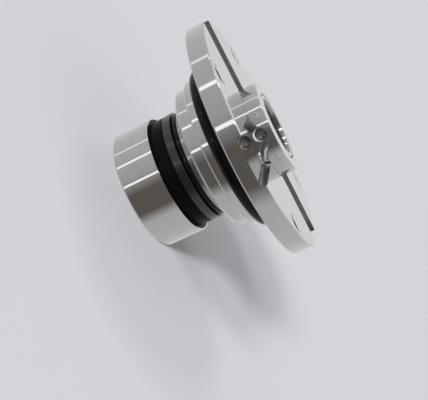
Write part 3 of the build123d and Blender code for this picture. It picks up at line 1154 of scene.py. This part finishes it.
    def build_spring(self, number: int) -> None:
        """Winds one spring, with closed ends that are ground flat.

        Args:
            number: Which spring, from 1.
        """
        name = f"spring_{number}"
        place = Place.of(name)
        coil_r = (place.high.x - place.low.x) / 2 - self.wire / 2
        open_coils = self.coils - 2
        open_rise = place.height - self.wire * (1 + 2 * self.closing)
        made = bmesh.new()
        rings = []
        for step in range(int(self.coils * COIL_STEPS) + 1):
            turn = step / COIL_STEPS
            closed = min(turn, 1.0) + max(0.0, turn - 1 - open_coils)
            opened = max(0.0, min(turn - 1, open_coils))
            rise = closed * self.wire * self.closing + opened * open_rise / open_coils
            angle = 2 * math.pi * turn
            side = Vector((math.cos(angle), math.sin(angle), 0))
            middle = side * coil_r + UP * (place.low.z + self.wire / 2 + rise)
            ring = []
            for part in range(WIRE_STEPS):
                swing = 2 * math.pi * part / WIRE_STEPS
                point = middle + (side * math.cos(swing) + UP * math.sin(swing)) * self.wire / 2
                point.z = min(max(point.z, place.low.z), place.high.z)
                ring.append(made.verts.new(point))
            rings.append(ring)
        for before, after in zip(rings, rings[1:]):
            for part in range(WIRE_STEPS):
                made.faces.new((before[part - 1], after[part - 1], after[part], before[part]))
        made.faces.new(rings[0])
        made.faces.new(rings[-1][::-1])
        bmesh.ops.recalc_face_normals(made, faces=made.faces)
        piece = as_piece(f"coil_{number}", made)
        piece.data.transform(Matrix.Translation((place.centre.x, place.centre.y, 0)))
        dress(piece, SPRING_WIRE)
        stand_for(piece, name)
        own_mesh(piece)

    def build(self) -> None:
        """Builds all that turns with the shaft, apart from the collar."""
        self.build_sleeve()
        self.build_holder()
        build_ring("shaft_o_ring", "shaft_sealing_ring")
        for number in range(self.springs):
            self.build_spring(number + 1)
        for number in range(self.pins):
            keep(f"drive_pin_{number + 1}", PIN_STEEL)
        for number in range(self.dowels):
            keep(f"drive_dowel_{number + 1}", PIN_STEEL)


# ------------------------------------------------------------------------------------------------ faces
@dataclass
class FaceSet:
    """The rotary face, its O-ring and its thrust ring.

    Attributes:
        shaft: The holder that it stands in.
        bore_gap: Radial room between the face and the holder's hub.
        bevel: Bevel at the outer edge of the lapped face.
        step: Relief at the inner edge of the lapped face.
        pin_gap: Radial room round each drive pin.
        pin_room: How far each pin hole reaches past its pin.
        slimmer: How much the face steps in where it leaves the holder.
        sunk: How far below the holder's mouth that step lies.
    """

    shaft: ShaftParts
    bore_gap: float = 0.0003
    bevel: float = 0.0008
    step: float = 0.0016
    pin_gap: float = 0.0004
    pin_room: float = 0.0023
    slimmer: float = 0.0018
    sunk: float = 0.0003
    face: Place = field(default_factory=lambda: Place.of("rotary_face"))
    ring: Place = field(default_factory=lambda: Place.of("face_o_ring"))

    def build(self) -> None:
        """Turns the rotary face, drills its pin holes and adds what rides with it."""
        low, high, out = self.face.low.z, self.face.high.z, self.face.radius
        inner = self.shaft.hub_r + self.bore_gap
        bed, nose = self.ring.radius + RING_GAP, out - self.slimmer
        step_z = self.shaft.mouth - self.sunk
        outline = [
            (inner, low),
            (out, low),
            (out, step_z),
            (nose, step_z),
            (nose, high - self.bevel),
            (nose - self.bevel, high),
            (inner + self.step, high),
            (inner + self.step, high - self.step),
            (inner, high - self.step),
            (inner, self.ring.high.z + RING_GAP),
            (bed, self.ring.high.z + RING_GAP),
            (bed, self.ring.low.z - RING_GAP),
            (inner, self.ring.low.z - RING_GAP),
        ]
        piece = turned("lapped_face_ring", broken(outline, FINE_BREAK))
        dress(piece, FACE_BLACK)
        holes = []
        for number in range(self.shaft.pins):
            pin = Place.of(f"drive_pin_{number + 1}")
            holes.append(pin_hole(pin, low - DEEP, pin.high.z + self.pin_room, self.pin_gap))
        cut(piece, holes)
        true_normals(piece)
        stand_for(piece, "rotary_face")
        build_ring("face_o_ring", "face_sealing_ring")
        keep("thrust_ring", PIN_STEEL)


# ------------------------------------------------------------------------------------------------ collar
@dataclass(frozen=True)
class Screw:
    """One set screw and its tapped hole.

    Attributes:
        number: Which screw, from 1.
        hole_r: Radius of the hole inside its thread.
        pitch: Pitch of the thread.
        thread: Depth of the thread.
        flank: How much steeper its flanks are than a plain zigzag's, which flattens crest and root.
        point_r: Radius of the cup point's rim.
        key: Width across the flats of the socket.
        key_depth: Depth of the socket.
        key_tip: Depth of the drill's tip below the socket.
        key_lead: Depth of the chamfer at the socket's mouth.
        cup_depth: Depth of the cup point.
        head_chamfer: Chamfer at the outer end.
    """

    number: int
    hole_r: float = 0.0030
    pitch: float = 0.0010
    thread: float = 0.0005
    flank: float = 1.4
    point_r: float = 0.0017
    key: float = 0.0030
    key_depth: float = 0.0032
    key_tip: float = 0.0006
    key_lead: float = 0.0003
    cup_depth: float = 0.0011
    head_chamfer: float = 0.0008

    @property
    def node(self) -> str:
        """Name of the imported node."""
        return f"set_screw_{self.number}"

    @property
    def outwards(self) -> Vector:
        """Direction of the screw's axis, away from the shaft."""
        joint = next(entry for entry in frame["joints"] if entry["child"] == self.node)
        return -Vector(joint["axis"])

    @property
    def placement(self) -> Matrix:
        """Puts local Z along the screw's axis, with its origin on the shaft axis."""
        height = Place.of(self.node).centre.z
        turn = self.outwards.to_track_quat("Z", "Y").to_matrix().to_4x4()
        return Matrix.Translation((0, 0, height)) @ turn

    @property
    def span(self) -> Point:
        """Distances of the screw's two ends from the shaft axis."""
        ends = [vertex.co.dot(self.outwards) for vertex in frame["nodes"][self.node].data.vertices]
        return min(ends), max(ends)

    def threaded(self, crest: float, root: float, ends: Sequence[Point]) -> bpy.types.Object:
        """Makes a rod with a helical thread.

        Args:
            crest: Radius over the thread.
            root: Radius under the thread.
            ends: Largest radius at rising heights, from one end of the rod to the other.

        Returns:
            The rod, closed at both ends.
        """
        low, high = ends[0][1], ends[-1][1]
        rows = int((high - low) / self.pitch * PITCH_ROWS)
        heights = sorted({low + (high - low) * row / rows for row in range(rows + 1)} | {z for _, z in ends})
        made = bmesh.new()
        rings = []
        for z in heights:
            limit = envelope(ends, z)
            ring = []
            for step in range(THREAD_STEPS):
                turn = step / THREAD_STEPS
                wave = 1 - abs(2 * ((z / self.pitch + turn) % 1) - 1)
                rise = min(1.0, max(0.0, wave * self.flank - (self.flank - 1) / 2))
                radius = min(root + (crest - root) * rise, limit)
                angle = 2 * math.pi * turn
                ring.append(made.verts.new((radius * math.cos(angle), radius * math.sin(angle), z)))
            rings.append(ring)
        for before, after in zip(rings, rings[1:]):
            for step in range(THREAD_STEPS):
                made.faces.new((before[step - 1], before[step], after[step], after[step - 1]))
        made.faces.new(rings[0][::-1])
        made.faces.new(rings[-1])
        bmesh.ops.recalc_face_normals(made, faces=made.faces)
        return as_piece("cutter", made)

    def tools(self, low: float, high: float) -> list[bpy.types.Object]:
        """Cutters of the hexagon socket and the cup point.

        Args:
            low: Inner end of the screw.
            high: Outer end of the screw.

        Returns:
            The socket, its drilled bottom, its lead-in and the cup.
        """
        corner, flat, floor_z = self.key / math.sqrt(3), self.key / 2, high - self.key_depth
        turns = [math.pi / 3 * side for side in range(6)]
        hexagon = [(corner * math.cos(turn), corner * math.sin(turn)) for turn in turns]
        socket = prism(hexagon, floor_z, high + DEEP)
        thick, lead, over = 0.0005, self.key_lead, 0.0002
        tip = [(0, floor_z - self.key_tip), (flat, floor_z), (flat, floor_z + thick), (0, floor_z + thick)]
        mouth = [(flat - lead, high - lead), (corner + over, high + lead), (0, high + lead), (0, high - lead)]
        cup = [(0, low + self.cup_depth), (self.point_r - over, low - PAST), (0, low - PAST)]
        return [socket, *(turned("cutter", outline, HOLE_STEPS) for outline in (tip, mouth, cup))]

    def build(self) -> None:
        """Makes the screw with its thread, cup point and hexagon socket."""
        low, high = self.span
        crest = Place.of(self.node).height / 2
        point = crest - self.point_r
        ends = [
            (self.point_r, low),
            (crest, low + point),
            (crest, high - self.head_chamfer),
            (crest - self.head_chamfer, high),
        ]
        piece = self.threaded(crest, crest - self.thread, ends)
        piece.name = f"socket_screw_{self.number}"
        cut(piece, self.tools(low, high))
        piece.data.set_sharp_from_angle(angle=SHARP)
        dress(piece, SCREW_STEEL)
        piece.data.transform(self.placement)
        stand_for(piece, self.node)


def envelope(ends: Sequence[Point], z: float) -> float:
    """Reads a radius off a broken line of radius and height.

    Args:
        ends: Corners of the line, at rising heights.
        z: Where to read it.

    Returns:
        The radius there.
    """
    for (r_low, z_low), (r_high, z_high) in zip(ends, ends[1:]):
        if z <= z_high:
            share = (z - z_low) / (z_high - z_low)
            return r_low + (r_high - r_low) * max(0.0, share)
    return ends[-1][0]


def screws() -> list[Screw]:
    """Lists the set screws."""
    nodes = [name for name in frame["nodes"] if name.startswith("set_screw_")]
    return [Screw(number + 1) for number in range(len(nodes))]


@dataclass
class Collar:
    """The drive collar, its retaining ring and its set screws.

    Attributes:
        shaft: The sleeve that it clamps.
        edge: Chamfer on the outer edges.
        recess_depth: Depth of the recess in its face.
        recess_gap: Radial room round the retaining ring.
        mouth_r: Radius of each screw hole's countersink.
        mouth_over: How far the countersink tool passes the collar's outside.
        thread_depth: Depth of the thread in each hole.
        thread_lead: Length that leads into the thread.
    """

    shaft: ShaftParts
    edge: float = 0.0004
    recess_depth: float = 0.0019
    recess_gap: float = 0.0007
    mouth_r: float = 0.0043
    mouth_over: float = 0.0012
    thread_depth: float = 0.00028
    thread_lead: float = 0.0003
    collar: Place = field(default_factory=lambda: Place.of("drive_collar"))
    clip: Place = field(default_factory=lambda: Place.of("collar_clip"))

    def tapped_hole(self, screw: Screw, bore: float) -> list[bpy.types.Object]:
        """Cutters of one tapped and countersunk hole.

        Args:
            screw: The screw that the hole is for.
            bore: Radius of the collar's bore.

        Returns:
            The tap and the countersink.
        """
        out, low, radius = self.collar.radius, bore * 0.9, screw.hole_r
        sink, crest, lead = out - (self.mouth_r - radius), radius + self.thread_depth, self.thread_lead
        tap = screw.threaded(crest, radius, [(radius, low), (crest, low + lead), (crest, sink)])
        high, wide = out + self.mouth_over, self.mouth_r + self.mouth_over
        cone = [(0, sink - lead), (radius - lead, sink - lead), (wide, high), (0, high)]
        cutters = [tap, turned("cutter", cone, HOLE_STEPS)]
        for cutter in cutters:
            cutter.data.transform(screw.placement)
        return cutters

    def build(self) -> None:
        """Turns the collar, taps its holes and sets the screws."""
        low, high, out = self.collar.low.z, self.collar.high.z, self.collar.radius
        bore = self.shaft.outside + SNUG
        recess = self.clip.radius + self.recess_gap
        outline = [
            (bore, low),
            (out - self.edge, low),
            (out, low + self.edge),
            (out, high - self.edge),
            (out - self.edge, high),
            (recess, high),
            (recess, high - self.recess_depth),
            (bore, high - self.recess_depth),
        ]
        piece = turned("clamp_collar", broken(outline, FINE_BREAK))
        dress(piece, COLLAR_STEEL)
        for screw in screws():
            cut(piece, self.tapped_hole(screw, bore))
        true_normals(piece)
        stand_for(piece, "drive_collar")
        keep("collar_clip", CLIP_STEEL)
        for screw in screws():
            screw.build()


# ------------------------------------------------------------------------------------------------ studio
@dataclass(frozen=True)
class Strip:
    """An upright strip light.

    Attributes:
        place: Half its turn from the camera, which is where a steel cylinder mirrors it, in degrees.
        width: How wide it shows.
        light: Its brightness.
    """

    place: float
    width: float
    light: float


@dataclass(frozen=True)
class Lamp:
    """A soft distant lamp.

    Attributes:
        name: Name of the lamp.
        turn: Direction that it shines from, in degrees from X.
        rise: Its height above the horizon in degrees.
        share: Its share of the light on the floor.
        softness: Its apparent size in degrees.
    """

    name: str
    turn: float
    rise: float
    share: float
    softness: float


def linear(tone: float) -> float:
    """Turns a screen tone from 0 to 255 into light."""
    value = tone / 255
    return value / 12.92 if value <= 0.04045 else ((value + 0.055) / 1.055) ** 2.4


def grey(tone: float, warm: float = 0.0) -> Color:
    """A grey of a screen tone, warmer or cooler by a few steps."""
    return linear(tone + warm), linear(tone), linear(tone - warm)


@dataclass
class Studio:
    """Floor, background, lamps and camera.

    Attributes:
        backdrop: Colour of the floor and of what is behind it.
        floor_reach: How far the floor reaches from the object.
        eye: Place of the camera.
        look: Direction that the camera looks in.
        up: Direction that is up in the picture.
        lens: Focal length in mm.
        sensor: Width of the sensor in mm.
        nearest: Distance from which the camera sees.
        farthest: Distance up to which it sees.
        steel: Share of the light that steel mirrors.
        ambient: Even light from all round.
        ceiling: Tone of the ceiling as steel mirrors it.
        ground: Tone of the floor round the object as steel mirrors it.
        walls: Tones of the pale walls and of the dark screen between them, each after half its turn from
            the camera in degrees.
        strips: The strip lights.
        strip_edge: Width of their soft edges.
        overhead: How much brighter they are overhead.
        overhead_from: Upright part of a direction where they start to brighten.
        overhead_to: Upright part of a direction where they are brightest.
        horizon: Upright part of a direction where the ground has given way to the ceiling.
        pole_from: Upright part of a direction where the ceiling or the ground starts to cover the walls.
        pole_to: Upright part of a direction where it covers them.
        lamps: The soft lamps.
    """

    backdrop: Color = (linear(212), linear(213), linear(217))
    floor_reach: float = 60.0
    eye: Vector = field(default_factory=lambda: Vector((-0.0740, -0.42925, 0.1430)))
    look: Vector = field(default_factory=lambda: Vector((0.21863, 0.94701, -0.23531)))
    up: Vector = field(default_factory=lambda: Vector((-0.85926, 0.30113, 0.41352)))
    lens: float = 60.39
    sensor: float = 36.0
    nearest: float = 0.01
    farthest: float = 200.0
    steel: float = 0.80
    ambient: float = 0.4
    ceiling: Color = grey(230)
    ground: Color = grey(172)
    walls: tuple[tuple[float, Color], ...] = (
        (-90, grey(200)), (-60, grey(170)), (-15, grey(150)),
        (0, grey(80, 5)), (20, grey(80, 5)),
        (30, grey(160)), (60, grey(170)), (90, grey(200)),
    )
    strips: tuple[Strip, ...] = (
        Strip(-45, 1.0, 1.0),
        Strip(-30, 1.5, 1.2),
        Strip(-10, 1.5, 1.2),
    )
    strip_edge: float = 0.3
    overhead: float = 7.0
    overhead_from: float = 0.17
    overhead_to: float = 0.36
    horizon: float = 0.1
    pole_from: float = 0.55
    pole_to: float = 0.85
    lamps: tuple[Lamp, ...] = (
        Lamp("key_lamp", 235, 20, 0.3, 10),
        Lamp("soft_lamp", 225, 35, 0.2, 15),
        Lamp("back_lamp", 120, 50, 0.1, 15),
    )

    def paint_walls(self, tree: Tree, around: bpy.types.NodeSocket) -> bpy.types.NodeSocket:
        """Paints the walls and the screen.

        Args:
            tree: The world's nodes.
            around: Turn from the camera, from 0 to 1.

        Returns:
            Their light.
        """
        ramp = tree.add("ValToRGB", {"Fac": around})
        stops = ramp.color_ramp.elements
        stops.remove(stops[1])
        for index, (place, tone) in enumerate(self.walls):
            share = 0.5 + place / 180
            stop = stops[0] if index == 0 else stops.new(share)
            stop.position = share
            stop.color = (*(value / self.steel for value in tone), 1)
        return ramp.outputs[0]

    def hang_strips(self, tree: Tree, walls: bpy.types.NodeSocket, around: bpy.types.NodeSocket,
                    rise: bpy.types.NodeSocket) -> bpy.types.NodeSocket:
        """Hangs the strip lights before the walls.

        Args:
            tree: The world's nodes.
            walls: Light of the walls.
            around: Turn from the camera, from 0 to 1.
            rise: Upright part of the direction.

        Returns:
            The light of walls and strips.
        """
        glow = tree.span(rise, self.overhead_from, self.overhead_to, 1.0, self.overhead)
        for strip in self.strips:
            off = tree.math("ABSOLUTE", tree.math("SUBTRACT", around, 0.5 + strip.place / 180))
            cover = tree.span(off, strip.width / 360 + self.strip_edge / 180, strip.width / 360)
            light = {0: (strip.light,) * 3, "Scale": glow}
            walls = tree.mix(cover, walls, tree.add("VectorMath", light, operation="SCALE").outputs[0])
        return walls

    def build_world(self) -> None:
        """Makes the background, the even light and what polished steel mirrors."""
        world = bpy.data.worlds.new("studio")
        bpy.context.scene.world = world
        tree = Tree(world, "Background")
        direction = tree.add("TexCoord").outputs["Generated"]
        facing = {"Vector": direction, "Angle": -math.atan2(self.eye.y, self.eye.x)}
        level = tree.add("VectorRotate", facing, rotation_type="Z_AXIS").outputs[0]
        axes = tree.add("SeparateXYZ", {0: level}).outputs
        around = tree.span(tree.math("ARCTAN2", axes[1], axes[0]), -math.pi, math.pi)
        shown = self.hang_strips(tree, self.paint_walls(tree, around), around, axes[2])
        pole = tree.mix(tree.span(axes[2], -self.horizon, self.horizon), self.ground, self.ceiling)
        upright = tree.math("ABSOLUTE", axes[2])
        steep = tree.span(upright, self.pole_from, self.pole_to, interpolation_type="SMOOTHSTEP")
        path = tree.add("LightPath").outputs
        lit = tree.mix(path["Is Glossy Ray"], (self.ambient,) * 3, tree.mix(steep, shown, pole))
        tree.link(tree.mix(path["Is Camera Ray"], lit, self.backdrop), "Color")

    def build_floor(self) -> None:
        """Lays the plain floor, which steel doesn't mirror twice."""
        made = bmesh.new()
        reach = self.floor_reach
        corners = ((-reach, -reach), (reach, -reach), (reach, reach), (-reach, reach))
        made.faces.new([made.verts.new((x, y, 0)) for x, y in corners])
        floor = as_piece("floor", made)
        paper = bpy.data.materials.new("floor_paper")
        Tree(paper).set(base_color=self.backdrop, roughness=0.9, specular_ior_level=0.0)
        floor.data.materials.append(paper)
        floor.visible_glossy = False

    def build_lamps(self) -> None:
        """Hangs the soft lamps, which light the object but aren't mirrored in it."""
        for lamp in self.lamps:
            light = bpy.data.lights.new(lamp.name, "SUN")
            rise, turn = math.radians(lamp.rise), math.radians(lamp.turn)
            light.energy = lamp.share * math.pi / math.sin(rise)
            light.angle = math.radians(lamp.softness)
            holder = bpy.data.objects.new(lamp.name, light)
            level = math.cos(rise)
            source = Vector((level * math.cos(turn), level * math.sin(turn), math.sin(rise)))
            holder.rotation_euler = source.to_track_quat("Z", "Y").to_euler()
            holder.visible_glossy = False
            bpy.context.scene.collection.objects.link(holder)

    def build_camera(self) -> None:
        """Sets up the camera."""
        camera = bpy.data.cameras.new("camera")
        camera.lens = self.lens
        camera.sensor_width = self.sensor
        camera.clip_start = self.nearest
        camera.clip_end = self.farthest
        eye = bpy.data.objects.new("camera", camera)
        back, up = -self.look.normalized(), self.up.normalized()
        right = up.cross(back).normalized()
        turn = Matrix((right, back.cross(right), back)).transposed().to_4x4()
        eye.matrix_world = Matrix.Translation(self.eye) @ turn
        bpy.context.scene.collection.objects.link(eye)
        bpy.context.scene.camera = eye

    def build(self) -> None:
        """Builds the whole studio."""
        bpy.context.scene.view_settings.view_transform = "Standard"
        self.build_world()
        self.build_floor()
        self.build_lamps()
        self.build_camera()


def main() -> None:
    """Builds the seal and its studio."""
    logging.basicConfig(level=logging.INFO, format="%(message)s")
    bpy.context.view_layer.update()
    shaft = ShaftParts()
    Gland(shaft).build()
    shaft.build()
    FaceSet(shaft).build()
    Collar(shaft).build()
    Studio().build()


if __name__ == "__main__":
    main()
